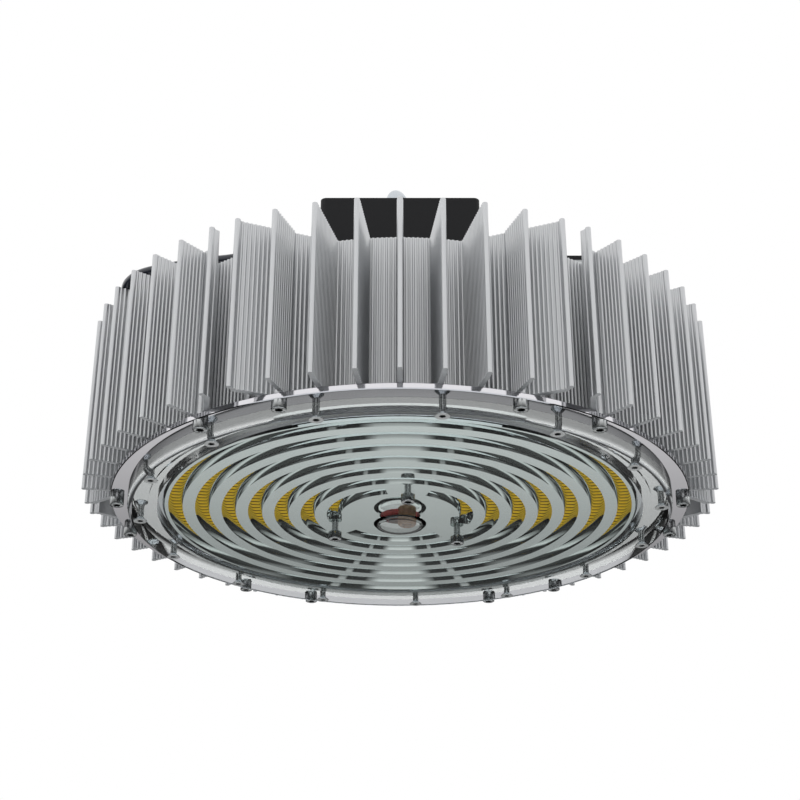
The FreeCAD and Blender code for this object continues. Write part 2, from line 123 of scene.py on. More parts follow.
def grainGroup():
    # noise stretched along one axis: drives colour, roughness and a light bump
    group, given, result = newGroup(
        "stretchedGrain",
        [("Scale", "NodeSocketVector", (300, 300, 300)),
         ("Low Colour", "NodeSocketColor", (0.6, 0.6, 0.6, 1)),
         ("High Colour", "NodeSocketColor", (0.7, 0.7, 0.7, 1)), ("Low Roughness", "NodeSocketFloat", 0.3),
         ("High Roughness", "NodeSocketFloat", 0.4), ("Bump", "NodeSocketFloat", 0.1)],
        [("Colour", "NodeSocketColor"), ("Roughness", "NodeSocketFloat"), ("Normal", "NodeSocketVector")])
    nodes, links = group.nodes, group.links
    place = nodes.new("ShaderNodeTexCoord")
    stretch = nodes.new("ShaderNodeVectorMath")
    stretch.operation = "MULTIPLY"
    links.new(place.outputs["Object"], stretch.inputs[0])
    links.new(given.outputs["Scale"], stretch.inputs[1])
    noise = nodes.new("ShaderNodeTexNoise")
    noise.inputs["Scale"].default_value = 1
    noise.inputs["Detail"].default_value = grainShape["detail"]
    links.new(stretch.outputs[0], noise.inputs["Vector"])
    tint = nodes.new("ShaderNodeMix")
    tint.data_type = "RGBA"
    links.new(noise.outputs["Fac"], tint.inputs["Factor"])
    links.new(given.outputs["Low Colour"], tint.inputs["A"])
    links.new(given.outputs["High Colour"], tint.inputs["B"])
    rough = nodes.new("ShaderNodeMapRange")
    links.new(noise.outputs["Fac"], rough.inputs["Value"])
    rough.inputs["From Min"].default_value = grainShape["noiseLow"]
    rough.inputs["From Max"].default_value = grainShape["noiseHigh"]
    links.new(given.outputs["Low Roughness"], rough.inputs["To Min"])
    links.new(given.outputs["High Roughness"], rough.inputs["To Max"])
    bump = nodes.new("ShaderNodeBump")
    bump.inputs["Distance"].default_value = grainShape["bumpHeight"]
    links.new(given.outputs["Bump"], bump.inputs["Strength"])
    links.new(noise.outputs["Fac"], bump.inputs["Height"])
    links.new(tint.outputs["Result"], result.inputs["Colour"])
    links.new(rough.outputs["Result"], result.inputs["Roughness"])
    links.new(bump.outputs["Normal"], result.inputs["Normal"])
    return group


grain = grainGroup()


def setInputs(node, values):
    for label, value in values.items():
        node.inputs[label].default_value = value


def grainMaterial(name, scale, lowColour, highColour, roughness, bump,
                  metallic=0.0, coat=0.0, ior=1.45, specular=0.5):
    material = bpy.data.materials.new(name)
    material.use_nodes = True
    nodes, links = material.node_tree.nodes, material.node_tree.links
    shader = nodes["Principled BSDF"]
    setInputs(shader, {"Metallic": metallic, "Coat Weight": coat, "IOR": ior, "Specular IOR Level": specular})
    box = nodes.new("ShaderNodeGroup")
    box.node_tree = grain
    setInputs(box, {"Scale": scale, "Low Colour": (*lowColour, 1), "High Colour": (*highColour, 1),
                    "Low Roughness": roughness[0], "High Roughness": roughness[1], "Bump": bump})
    links.new(box.outputs["Colour"], shader.inputs["Base Color"])
    links.new(box.outputs["Roughness"], shader.inputs["Roughness"])
    links.new(box.outputs["Normal"], shader.inputs["Normal"])
    return material


def clearMaterial(name, colour, ior, coat=0.0):
    # clear plastic that shadows pass through; a thin sheet bends little and gets its gloss from a coat
    material = bpy.data.materials.new(name)
    material.use_nodes = True
    nodes, links = material.node_tree.nodes, material.node_tree.links
    shader = nodes["Principled BSDF"]
    setInputs(shader, {"Base Color": (*colour, 1), "Transmission Weight": 1, "IOR": ior, "Roughness": 0,
                       "Coat Weight": coat, "Coat Roughness": 0})
    see = nodes.new("ShaderNodeBsdfTransparent")
    see.inputs["Color"].default_value = (*colour, 1)
    ray = nodes.new("ShaderNodeLightPath")
    mix = nodes.new("ShaderNodeMixShader")
    links.new(ray.outputs["Is Shadow Ray"], mix.inputs["Fac"])
    links.new(shader.outputs["BSDF"], mix.inputs[1])
    links.new(see.outputs["BSDF"], mix.inputs[2])
    links.new(mix.outputs["Shader"], nodes["Material Output"].inputs["Surface"])
    return material


finish = {
    "fins": grainMaterial("extrudedAluminium", (350, 350, 3), (0.60, 0.61, 0.62), (0.68, 0.69, 0.70),
                          (0.30, 0.38), 0.02, metallic=0.9),
    "base": grainMaterial("polishedPlate", (60, 60, 60), (0.76, 0.75, 0.78), (0.80, 0.79, 0.82),
                          (0.03, 0.05), 0.0, metallic=1.0),
    "reflector": grainMaterial("mirrorReflector", (90, 90, 90), (0.80, 0.83, 0.82), (0.84, 0.86, 0.85),
                               (0.0, 0.01), 0.0, metallic=1.0),
    "led": grainMaterial("ledPhosphor", (2500, 2500, 2500), (0.85, 0.50, 0.008), (0.95, 0.58, 0.012),
                         (0.4, 0.55), 0.05, specular=0.05),
    "ledEdge": grainMaterial("ledCasing", (2500, 2500, 2500), (0.16, 0.09, 0.01), (0.24, 0.14, 0.02),
                             (0.4, 0.55), 0.05, specular=0.1),
    # painted shade: a dark metal finish in the hex sockets stands in for the shade deep in the holes
    "socket": grainMaterial("socketPaintedShade", (2500, 2500, 2500), (0.05, 0.055, 0.055), (0.09, 0.095, 0.095),
                            (0.3, 0.45), 0.05, metallic=1.0),
    "ledGap": grainMaterial("ledFrame", (2500, 2500, 2500), (0.36, 0.20, 0.012), (0.46, 0.27, 0.018),
                            (0.4, 0.5), 0.05),
    "gasket": grainMaterial("greySilicone", (900, 900, 900), (0.30, 0.30, 0.31), (0.36, 0.36, 0.37),
                            (0.5, 0.65), 0.1),
    "cover": clearMaterial("clearCoverPlastic", (0.96, 0.98, 0.98), 1.14, 0.5),
    "sheet": clearMaterial("clearSheetPlastic", (0.95, 0.985, 0.98), 1.02, 0.08),
    "window": clearMaterial("clearWindowPlastic", (0.96, 0.98, 0.975), 1.2, 0.4),
    "screws": grainMaterial("stainlessScrews", (1500, 1500, 1500), (0.60, 0.62, 0.62), (0.72, 0.74, 0.74),
                            (0.16, 0.28), 0.05, metallic=1.0),
    "board": grainMaterial("redBoard", (1200, 1200, 1200), (0.45, 0.05, 0.05), (0.60, 0.09, 0.08),
                           (0.3, 0.45), 0.05, coat=0.3),
    "sensor": grainMaterial("sensorCasing", (1400, 1400, 1400), (0.16, 0.09, 0.05), (0.26, 0.16, 0.09),
                            (0.15, 0.3), 0.03, coat=0.4),
    "pillar": grainMaterial("turnedAluminium", (30, 30, 1200), (0.62, 0.63, 0.64), (0.70, 0.71, 0.72),
                            (0.25, 0.4), 0.05, metallic=1.0),
    "tray": grainMaterial("satinTray", (600, 600, 600), (0.56, 0.57, 0.57), (0.62, 0.63, 0.63),
                          (0.4, 0.5), 0.05, metallic=0.3),
    "driver": grainMaterial("driverCasing", (900, 30, 900), (0.58, 0.59, 0.60), (0.66, 0.67, 0.68),
                            (0.3, 0.42), 0.05, metallic=0.9),
    "black_steel": grainMaterial("blackTexturedPaint", (1800, 1800, 1800), (0.003, 0.003, 0.0035),
                                 (0.012, 0.012, 0.013), (0.45, 0.6), 0.25, ior=1.3),
    "zinc": grainMaterial("zincPlate", (700, 700, 700), (0.52, 0.56, 0.60), (0.66, 0.69, 0.72),
                          (0.14, 0.26), 0.04, metallic=1.0),
    "gland": grainMaterial("blackNylon", (1600, 1600, 1600), (0.012, 0.012, 0.013), (0.02, 0.02, 0.021),
                           (0.35, 0.5), 0.1),
    "lead": grainMaterial("leadJacket", (1200, 1200, 1200), (0.006, 0.0075, 0.012), (0.010, 0.012, 0.018),
                          (0.16, 0.24), 0.03, coat=0.35),
}

for part in frame["record"]["subparts"]:
    cadNode = frame["nodes"][part["node"]]
    cadNode.data.materials.clear()
    cadNode.data.materials.append(finish[part["material_slot"]])
makeLead(finish["lead"])
print("camera, lead and finishes ready")


# geometry node trees
def newTree(name, inputs):
    tree = bpy.data.node_groups.new(name, "GeometryNodeTree")
    tree.interface.new_socket("Geometry", in_out="INPUT", socket_type="NodeSocketGeometry")
    for label, kind, value in inputs:
        socket = tree.interface.new_socket(label, in_out="INPUT", socket_type=kind)
        if value is not None:
            socket.default_value = value
    tree.interface.new_socket("Geometry", in_out="OUTPUT", socket_type="NodeSocketGeometry")
    return tree, tree.nodes.new("NodeGroupInput"), tree.nodes.new("NodeGroupOutput")


def mathNode(tree, operation, a, b=None):
    node = tree.nodes.new("ShaderNodeMath")
    node.operation = operation
    for socket, value in zip(node.inputs, (a, b)):
        if isinstance(value, (int, float)):
            socket.default_value = value
        elif value is not None:
            tree.links.new(value, socket)
    return node.outputs[0]


def endTree(tree, geometry, given, result):
    realize = tree.nodes.new("GeometryNodeRealizeInstances")
    paint = tree.nodes.new("GeometryNodeSetMaterial")      # only faces whose slot is the first one
    slotNumber = tree.nodes.new("GeometryNodeInputMaterialIndex").outputs[0]
    tree.links.new(mathNode(tree, "LESS_THAN", slotNumber, 0.5), paint.inputs["Selection"])
    tree.links.new(geometry, realize.inputs["Geometry"])
    tree.links.new(realize.outputs["Geometry"], paint.inputs["Geometry"])
    tree.links.new(given.outputs["Material"], paint.inputs["Material"])
    tree.links.new(paint.outputs["Geometry"], result.inputs["Geometry"])


def ringTree():
    # copies of one mesh round a circle, in groups:
    # angle = start + group * group step + place in group * inner step
    tree, given, result = newTree("copiesRoundCircle", [
        ("Count", "NodeSocketInt", 12), ("Per Group", "NodeSocketInt", 1), ("Radius", "NodeSocketFloat", 0.1),
        ("Start", "NodeSocketFloat", 0.0), ("Group Step", "NodeSocketFloat", 30.0),
        ("Inner Step", "NodeSocketFloat", 0.0), ("Height", "NodeSocketFloat", 0.0),
        ("Material", "NodeSocketMaterial", None)])
    index = tree.nodes.new("GeometryNodeInputIndex").outputs[0]
    per = given.outputs["Per Group"]
    groupNumber = mathNode(tree, "FLOOR", mathNode(tree, "DIVIDE", index, per))
    inner = mathNode(tree, "MODULO", index, per)
    degrees = mathNode(tree, "ADD", given.outputs["Start"],
                    mathNode(tree, "ADD", mathNode(tree, "MULTIPLY", groupNumber, given.outputs["Group Step"]),
                          mathNode(tree, "MULTIPLY", inner, given.outputs["Inner Step"])))
    angle = mathNode(tree, "RADIANS", degrees)
    x = mathNode(tree, "MULTIPLY", given.outputs["Radius"], mathNode(tree, "SINE", angle))
    y = mathNode(tree, "MULTIPLY", mathNode(tree, "MULTIPLY", given.outputs["Radius"], -1.0),
              mathNode(tree, "COSINE", angle))
    spot = tree.nodes.new("ShaderNodeCombineXYZ")
    tree.links.new(x, spot.inputs["X"])
    tree.links.new(y, spot.inputs["Y"])
    tree.links.new(given.outputs["Height"], spot.inputs["Z"])
    turn = tree.nodes.new("ShaderNodeCombineXYZ")
    tree.links.new(angle, turn.inputs["Z"])
    points = tree.nodes.new("GeometryNodePoints")
    tree.links.new(given.outputs["Count"], points.inputs["Count"])
    tree.links.new(spot.outputs[0], points.inputs["Position"])
    copies = tree.nodes.new("GeometryNodeInstanceOnPoints")
    tree.links.new(points.outputs[0], copies.inputs["Points"])
    tree.links.new(given.outputs["Geometry"], copies.inputs["Instance"])
    tree.links.new(turn.outputs[0], copies.inputs["Rotation"])
    endTree(tree, copies.outputs["Instances"], given, result)
    return tree


def ribTree():
    # upright round ribs at an even pitch along every line of the input mesh
    tree, given, result = newTree("ribsAlongLines", [
        ("Pitch", "NodeSocketFloat", 0.0025), ("Radius", "NodeSocketFloat", 0.0008),
        ("Height", "NodeSocketFloat", 0.1), ("Sides", "NodeSocketInt", 6),
        ("Material", "NodeSocketMaterial", None)])
    lines = tree.nodes.new("GeometryNodeMeshToCurve")
    tree.links.new(given.outputs["Geometry"], lines.inputs["Mesh"])
    spaced = tree.nodes.new("GeometryNodeResampleCurve")
    spaced.mode = "LENGTH"
    tree.links.new(lines.outputs["Curve"], spaced.inputs["Curve"])
    tree.links.new(given.outputs["Pitch"], spaced.inputs["Length"])
    rib = tree.nodes.new("GeometryNodeMeshCylinder")
    tree.links.new(given.outputs["Sides"], rib.inputs["Vertices"])
    tree.links.new(given.outputs["Radius"], rib.inputs["Radius"])
    tree.links.new(given.outputs["Height"], rib.inputs["Depth"])
    smooth = tree.nodes.new("GeometryNodeSetShadeSmooth")
    smooth.inputs["Shade Smooth"].default_value = False
    tree.links.new(rib.outputs["Mesh"], smooth.inputs["Geometry"])
    copies = tree.nodes.new("GeometryNodeInstanceOnPoints")
    tree.links.new(spaced.outputs["Curve"], copies.inputs["Points"])
    tree.links.new(smooth.outputs["Geometry"], copies.inputs["Instance"])
    endTree(tree, copies.outputs["Instances"], given, result)
    return tree


def hold(piece, replaced):
    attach(piece, "root")
    if replaced:
        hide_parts(*replaced)


def grow(name, mesh, tree, values, replaced=()):
    # runs a tree on a mesh and keeps the result as a plain piece
    piece = bpy.data.objects.new(name, mesh)
    bpy.context.scene.collection.objects.link(piece)
    modifier = piece.modifiers.new("grow", "NODES")
    modifier.node_group = tree
    for item in tree.interface.items_tree:
        if item.in_out == "INPUT" and item.name in values:
            modifier[item.identifier] = values[item.name]
    piece.update_tag()
    bpy.context.view_layer.update()
    done = piece.evaluated_get(bpy.context.evaluated_depsgraph_get())
    plain = bpy.data.meshes.new_from_object(done)
    piece.modifiers.clear()
    piece.data = plain
    plain.name = name
    hold(piece, replaced)


def keep(name, mesh, slot, replaced):
    # a plain mesh in the material of its slot
    piece = bpy.data.objects.new(name, mesh)
    bpy.context.scene.collection.objects.link(piece)
    mesh.materials.append(finish[slot])
    hold(piece, replaced)


def smoothen(mesh, sharpFrom):
    for face in mesh.polygons:
        face.use_smooth = True
    mesh.set_sharp_from_angle(angle=math.radians(sharpFrom))


def turned(name, outlineAt, steps, smoothAngle):
    # a closed (radius, height) outline turned into a ring, in metres; it follows from the angle in degrees
    bm = bmesh.new()
    loops = []
    for s in range(steps):
        a = 2 * math.pi * s / steps
        loops.append([bm.verts.new((r * math.sin(a), -r * math.cos(a), z))
                      for r, z in outlineAt(math.degrees(a))])
    for s in range(steps):
        here, following = loops[s], loops[(s + 1) % steps]
        for i in range(len(here)):
            j = (i + 1) % len(here)
            bm.faces.new((here[i], following[i], following[j], here[j]))
    bmesh.ops.recalc_face_normals(bm, faces=bm.faces)
    mesh = bpy.data.meshes.new(name)
    bm.to_mesh(mesh)
    bm.free()
    smoothen(mesh, smoothAngle)
    return mesh


rings = ringTree()
ribs = ribTree()

# heat sinks: ribs on both faces of every fin and on the outer faces of the walls
heatsink = {
    "pitch": 6.85, "eachSide": 4, "tip": 0.1965, "finHalf": 0.0010, "arcRadius": 0.157, "arcHalf": 14.0,
    "cornerX": 0.038, "cornerY": 0.151, "endRadius": 0.194, "endAngle": 27.4, "wallHalf": 0.0015,
    "closingRadius": 0.166, "closingStart": 19.0, "closingEnd": 29.0, "closingHalf": 0.0012,
    "segments": 6, "arcSteps": 12, "rootGap": 0.0015, "cornerGap": 0.002,
    "ribPitch": 0.0025, "ribRadius": 0.00075, "ribSides": 6, "ribShort": 0.0001,
}


def finRoot(k):      # where a fin leaves the wall
    h = heatsink
    angle = k * h["pitch"]
    if abs(angle) < h["arcHalf"]:
        return h["arcRadius"]
    start = Vector((h["cornerX"], -h["cornerY"]))
    run = polar(h["endRadius"], h["endAngle"]).xy - start
    ray = polar(1, abs(angle)).xy
    return (start.x * run.y - start.y * run.x) / (ray.x * run.y - ray.y * run.x) + 2 * h["wallHalf"]


def ribLines(segment):
    h = heatsink
    middle = 360 / h["segments"] * segment
    lines = []
    for k in range(-h["eachSide"], h["eachSide"] + 1):
        angle = middle + k * h["pitch"]
        side = polar(h["finHalf"], angle + 90)
        start, end = finRoot(k) + h["rootGap"], h["tip"]
        if end - start > h["ribPitch"] * 2:
            lines += [[polar(start, angle) + side, polar(end, angle) + side],
                      [polar(start, angle) - side, polar(end, angle) - side]]
    lines.append([polar(h["arcRadius"], middle - h["arcHalf"] + 2 * h["arcHalf"] * i / h["arcSteps"])
                  for i in range(h["arcSteps"] + 1)])
    cornerAngle = math.degrees(math.atan2(h["cornerX"], h["cornerY"]))
    cornerRadius = math.hypot(h["cornerX"], h["cornerY"])
    for sign in (-1, 1):
        start = polar(cornerRadius, middle + sign * cornerAngle)
        end = polar(h["endRadius"], middle + sign * h["endAngle"])
        along = (end - start).normalized()
        outward = Vector((along.y, -along.x, 0))
        outward *= h["wallHalf"] * (1 if outward.dot(start) > 0 else -1)
        lines.append([start + outward + along * h["cornerGap"], end + outward])
        near, far = (polar(h["closingRadius"] + h["closingHalf"], middle + sign * h[key])
                     for key in ("closingStart", "closingEnd"))
        lines.append([near, far])
    return lines


def lineMesh(name, lines, z):
    vertices, edges = [], []
    for line in lines:
        first = len(vertices)
        vertices += [(p.x, p.y, z) for p in line]
        edges += [(first + i, first + i + 1) for i in range(len(line) - 1)]
    mesh = bpy.data.meshes.new(name)
    mesh.from_pydata(vertices, edges, [])
    return mesh


for segment in range(heatsink["segments"]):
    name = "heatsink_ribs_%d" % (segment + 1)
    # a hair short at both ends, so that the ribs end inside the extrusion
    grow(name, lineMesh(name, ribLines(segment), (finBottom + finTop) / 2), ribs,
         {"Pitch": heatsink["ribPitch"], "Radius": heatsink["ribRadius"], "Sides": heatsink["ribSides"],
          "Height": finTop - finBottom - heatsink["ribShort"], "Material": finish["fins"]})
print("ribs done")

# reflector with ring channels
reflectorShape = {
    "outer": 0.1495, "face": -0.005, "top": 0.005, "hub": 0.013, "first": 0.1418, "pitch": 0.0166, "count": 7,
    "mouthHalf": 0.00445, "floorHalf": 0.0021, "floor": 0.0036, "wallSteps": 12, "flare": 1.6,
    "bridgeHalf": 0.013, "screwAngles": (6, 126, 246), "edgeBreak": 0.001, "turnSteps": 256, "smoothAngle": 40,
}


def onBridge(degrees):      # where the innermost channel stays closed for a screw
    r = reflectorShape["first"] - (reflectorShape["count"] - 1) * reflectorShape["pitch"]
    half = math.degrees(math.asin(reflectorShape["bridgeHalf"] / r))
    return any(abs((degrees - a + 180) % 360 - 180) < half for a in reflectorShape["screwAngles"])


def reflectorOutline(degrees):
    s = reflectorShape
    face, floor = finBottom + s["face"], finBottom + s["floor"]
    outline = [(s["outer"], finBottom + s["top"]), (s["outer"], face + s["edgeBreak"]),
               (s["outer"] - s["edgeBreak"], face)]
    for k in range(s["count"]):
        r = s["first"] - k * s["pitch"]
        depth = 0 if k == s["count"] - 1 and onBridge(degrees) else floor - face
        for side in (1, -1):
            wall = []
            for i in range(s["wallSteps"] + 1):
                up = i / s["wallSteps"]      # flared at the mouth, upright at the channel's floor
                out = s["floorHalf"] + (s["mouthHalf"] - s["floorHalf"]) * (1 - up) ** s["flare"]
                wall.append((r + side * out, face + depth * up))
            outline += wall if side == 1 else wall[::-1]
    return outline + [(s["hub"], face), (s["hub"], finBottom + s["top"])]


keep("channel_reflector", turned("channel_reflector", reflectorOutline, reflectorShape["turnSteps"],
                                 reflectorShape["smoothAngle"]), "reflector", ["reflector"])

# clear cover: a rounded rim on the flange and a flat disc; the screws stand in its solid rim
coverShape = {"outer": 0.1715, "rimInner": 0.153, "round": 0.003, "roundSteps": 6, "sheet": 0.003,
              "hole": 0.0141, "top": -0.00365, "gasketOuter": 0.1586, "gasketInner": 0.1544,
              "gasketTop": -0.00445, "sheetEdge": 0.152, "turnSteps": 256, "smoothAngle": 40}


def makeCover():
    s = coverShape
    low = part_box("clear_cover")[0].z
    top, roof = finBottom + s["top"], finBottom + s["gasketTop"]
    outline = [(s["hole"], low)]
    for i in range(s["roundSteps"] + 1):
        t = math.pi / 2 * i / s["roundSteps"]
        outline.append((s["outer"] - s["round"] * (1 - math.sin(t)), low + s["round"] * (1 - math.cos(t))))
    outline += [(s["outer"], top), (s["gasketOuter"], top), (s["gasketOuter"], roof), (s["gasketInner"], roof),
                (s["gasketInner"], top), (s["rimInner"], top), (s["rimInner"], low + s["sheet"]),
                (s["hole"], low + s["sheet"])]
    mesh = turned("rimmed_cover", lambda degrees: outline, s["turnSteps"], s["smoothAngle"])
    keep("rimmed_cover", mesh, "cover", ["clear_cover"])
    mesh.materials.append(finish["sheet"])
    for face in mesh.polygons:
        if Vector(face.center).xy.length < s["sheetEdge"]:
            face.material_index = 1


makeCover()

# LED rings
ledShape = {"length": 4.3, "width": 5.6, "height": 0.7, "shoulder": 0.7, "taper": 0.86, "endTaper": 0.9,
            "pitch": 5.15, "boardTop": 0.0024, "arcs": 3, "perArc": 12, "arcStart": 27.5, "arcStep": 7.0}


def ledMesh():
    s = ledShape
    bm = bmesh.new()
    x, y, h = s["length"] * mm / 2, s["width"] * mm / 2, s["height"] * mm
    levels = [(1.0, 0.0), (1.0, -h * s["shoulder"]), (s["taper"], -h)]
    loops = [[bm.verts.new((sx * x * f, sy * y * (1 - s["endTaper"] + s["endTaper"] * f), z))
              for sx, sy in ((-1, -1), (1, -1), (1, 1), (-1, 1))] for f, z in levels]
    for low, high in zip(loops, loops[1:]):
        for i in range(4):
            bm.faces.new((low[i], low[(i + 1) % 4], high[(i + 1) % 4], high[i])).material_index = 1
    bm.faces.new(loops[-1])
    bm.faces.new(loops[0][::-1])
    bmesh.ops.recalc_face_normals(bm, faces=bm.faces)
    mesh = bpy.data.meshes.new("ledPackage")
    bm.to_mesh(mesh)
    bm.free()
    mesh.materials.append(finish["led"])
    mesh.materials.append(finish["ledEdge"])
    return mesh


for k in range(reflectorShape["count"]):
    r = reflectorShape["first"] - k * reflectorShape["pitch"]
    frame["nodes"]["led_ring_%d" % (k + 1)].data.materials[0] = finish["ledGap"]
    count = round(2 * math.pi * r / (ledShape["pitch"] * mm))
    pattern = {"Count": count, "Per Group": 1, "Start": 0.0, "Group Step": 360.0 / count}
    if k == reflectorShape["count"] - 1:      # the innermost ring is three arcs
        pattern = {"Count": ledShape["arcs"] * ledShape["perArc"], "Per Group": ledShape["perArc"],
                   "Start": ledShape["arcStart"], "Group Step": 360.0 / ledShape["arcs"],
                   "Inner Step": ledShape["arcStep"]}
    grow("leds_%d" % (k + 1), ledMesh(), rings,
         {**pattern, "Radius": r, "Height": finBottom + ledShape["boardTop"], "Material": finish["led"]})
print("reflector and LEDs done")


# screws
capHead = {"headRadius": 4.25, "headHeight": 5.0, "bevel": 0.5, "socketAcross": 4.0, "depth": 2.5}
panHead = {"headRadius": 3.8, "headHeight": 2.0, "bevel": 0.6, "socketAcross": 2.6, "depth": 1.2, "facing": -1}
screwShapes = {
    "cap": {**capHead, "shankLength": 16},
    "flat": {"headRadius": 4.3, "headHeight": 0, "bevel": 0.1, "socketAcross": 3.2, "depth": 1.5, "sink": 2.3,
             "shankLength": 10.2},
    "middle": {**capHead, "shankLength": 20},
    "lid": {**panHead, "shankLength": 16},
    "plate": {**panHead, "shankLength": 6.3},
}
screwPlaces = {      # metres and degrees
    "outer": {"Count": 12, "Per Group": 2, "Radius": 0.1778, "Start": -21.5, "Group Step": 60.0,
              "Inner Step": 43.0},
    "inner": {"Count": 15, "Per Group": 1, "Radius": 0.1644, "Start": 8.0, "Group Step": 24.0},
    "centre": {"Count": 3, "Per Group": 1, "Radius": 0.046, "Start": 6.0, "Group Step": 120.0},
    "lid_screws": (44, 41), "plate_screws": (108, 69),      # x and y of four pan heads, in millimetres
}
screwDetail = {"rimDrop": 0.12, "rimFlare": 1.07, "edge": 0.3, "smoothAngle": 32, "capDrop": 0.0015,
               "flatDrop": 0.0003, "socketInside": 0.98, "socketBelow": 1.1}


def screwHead(name, headRadius, headHeight, bevel, socketAcross, depth, shankLength,
              sink=0.0, shank=2.0, sides=30, facing=1):
    # a socket head that faces down (facing 1) or up (-1) with its face at zero; sink makes a countersunk cone
    bm = bmesh.new()
    d = screwDetail
    hexR = socketAcross / math.sqrt(3)

    def hexAt(i):      # the hexagon followed with the same number of points as the round edge
        a = 2 * math.pi * i / sides
        return hexR * math.cos(math.pi / 6) / math.cos((a % (math.pi / 3)) - math.pi / 6)

    def ring(radiusAt, z):
        return [bm.verts.new((radiusAt(i) * mm * math.cos(2 * math.pi * i / sides),
                              radiusAt(i) * mm * math.sin(2 * math.pi * i / sides), facing * z * mm))
                for i in range(sides)]

    edge = bevel * d["edge"]
    if sink:
        outline = [(headRadius, bevel), (headRadius, bevel + d["edge"]), (shank, sink + d["edge"])]
    else:
        outline = [(headRadius - edge, edge), (headRadius, bevel), (headRadius, headHeight),
                   (shank, headHeight)]
    outline = [(headRadius - bevel, 0), *outline, (shank, shankLength)]
    chain = [ring(hexAt, depth), ring(hexAt, d["rimDrop"]), ring(lambda i: hexAt(i) * d["rimFlare"], 0)]
    chain += [ring(lambda i, r=r: r, z) for r, z in outline]
    for a, b in zip(chain, chain[1:]):
        for i in range(sides):
            bm.faces.new((a[i], a[(i + 1) % sides], b[(i + 1) % sides], b[i]))
    bm.faces.new(chain[0])
    bm.faces.new(chain[-1])
    bmesh.ops.recalc_face_normals(bm, faces=bm.faces)
    for face in bm.faces:      # the socket's walls and floor, which get a dark finish as painted shade in the hole
        middle = face.calc_center_median()
        if (middle.xy.length < hexR * d["socketInside"] * mm
                and abs(middle.z) < depth * d["socketBelow"] * mm):
            face.material_index = 1
    mesh = bpy.data.meshes.new(name)
    mesh.materials.append(finish["screws"])
    mesh.materials.append(finish["socket"])
    bm.to_mesh(mesh)
    bm.free()
    smoothen(mesh, d["smoothAngle"])
    return mesh


def placeScrews(name, shape, place, height, node):
    grow(name, screwHead(name, **screwShapes[shape]), rings,
         {**place, "Height": height, "Material": finish["screws"]}, [node])


placeScrews("outer_socket_screws", "cap", screwPlaces["outer"],
            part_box("outer_screws")[0].z - screwDetail["capDrop"], "outer_screws")
placeScrews("inner_flat_screws", "flat", screwPlaces["inner"],
            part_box("clear_cover")[0].z - screwDetail["flatDrop"], "inner_screws")
placeScrews("centre_socket_screws", "middle", screwPlaces["centre"],
            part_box("centre_screws")[0].z, "centre_screws")
for node, shape in (("lid_screws", "lid"), ("plate_screws", "plate")):
    x, y = screwPlaces[node]
    turn = math.degrees(math.atan2(x, y))
    corners = {"Count": 4, "Per Group": 2, "Radius": math.hypot(x, y) * mm, "Start": turn, "Group Step": 180.0,
               "Inner Step": 180.0 - 2 * turn}
    placeScrews(node + "_pan", shape, corners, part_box(node)[1].z, node)
print("screws done")


# sensor head behind the window
sensorShape = {"x": 4.5, "radius": 5.75, "face": -11.0, "stemInset": 0.6, "stem": 3, "shoulder": 0.4,
               "chamfer": 0.8, "lens": 2.2, "lensRim": 0.5, "lensStep": 0.3, "lensDrop": 0.35, "lensSteps": 6,
               "steps": 48, "smoothAngle": 32}


def lathe(name, outline, steps, x, smoothAngle):
    # a solid turned round an upright axis at x from (radius, height) points in millimetres, with flat ends
    bm = bmesh.new()
    loops = [[bm.verts.new((x * mm + r * mm * math.cos(2 * math.pi * i / steps),
                            r * mm * math.sin(2 * math.pi * i / steps), z * mm + finBottom))
              for i in range(steps)] for r, z in outline]
    for a, b in zip(loops, loops[1:]):
        for i in range(steps):
            bm.faces.new((a[i], a[(i + 1) % steps], b[(i + 1) % steps], b[i]))
    bm.faces.new(loops[0])
    bm.faces.new(loops[-1])
    bmesh.ops.recalc_face_normals(bm, faces=bm.faces)
    mesh = bpy.data.meshes.new(name)
    bm.to_mesh(mesh)
    bm.free()
    smoothen(mesh, smoothAngle)
    return mesh


def makeSensor():
    s = sensorShape
    boardFace = (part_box("sensor_board")[0].z - finBottom) / mm
    r, face, stem = s["radius"], s["face"], s["radius"] - s["stemInset"]
    outline = [(stem, boardFace), (stem, boardFace - s["stem"]), (r, boardFace - s["stem"] - s["shoulder"]),
               (r, face + s["chamfer"]), (r - s["chamfer"], face), (s["lens"] + s["lensRim"], face),
               (s["lens"], face + s["lensStep"])]
    for i in range(1, s["lensSteps"]):
        t = math.pi / 2 * i / s["lensSteps"]
        outline.append((s["lens"] * math.cos(t),
                        face + s["lensStep"] - (s["lensDrop"] + s["lensStep"]) * math.sin(t)))
    keep("sensor_head", lathe("sensor_head", outline, s["steps"], s["x"], s["smoothAngle"]), "sensor",
         ["sensor_eye"])


makeSensor()


# studio
studio = {"floorZ": -2.3, "floorSize": 3.6, "worldStrength": 0.78, "worldColour": (0.94, 0.96, 1.0),
          "panelsFull": 0.05, "panelsGone": 0.25,
          "lamps": [("topSoft", (-0.5, -0.9, 1.1), 1.2, 0.8, 14), ("backSoft", (0.7, 2.0, 0.5), 1.6, 1.2, 34),
                    ("leftSoft", (-2.0, -0.9, -0.35), 1.6, 1.2, 24),
                    ("rightSoft", (2.0, -0.7, -0.35), 1.4, 1.2, 18)],      # name, place, width, height, power
          "roomShades": [(0.0, 0.25), (0.16, 0.08), (0.24, 0.08), (0.265, 0.95), (0.29, 0.9), (0.325, 0.5),
                         (0.35, 0.38), (0.39, 0.04), (0.5, 0.03), (0.56, 0.35), (0.7, 0.95), (1.0, 1.0)],
          "sideShades": [(0.0, 0.76), (0.2, 0.74), (0.33, 0.05), (0.49, 0.04), (0.51, 0.5), (0.55, 0.5),
                         (0.57, 0.04), (0.8, 0.05), (0.9, 0.5), (1.0, 0.7)]}


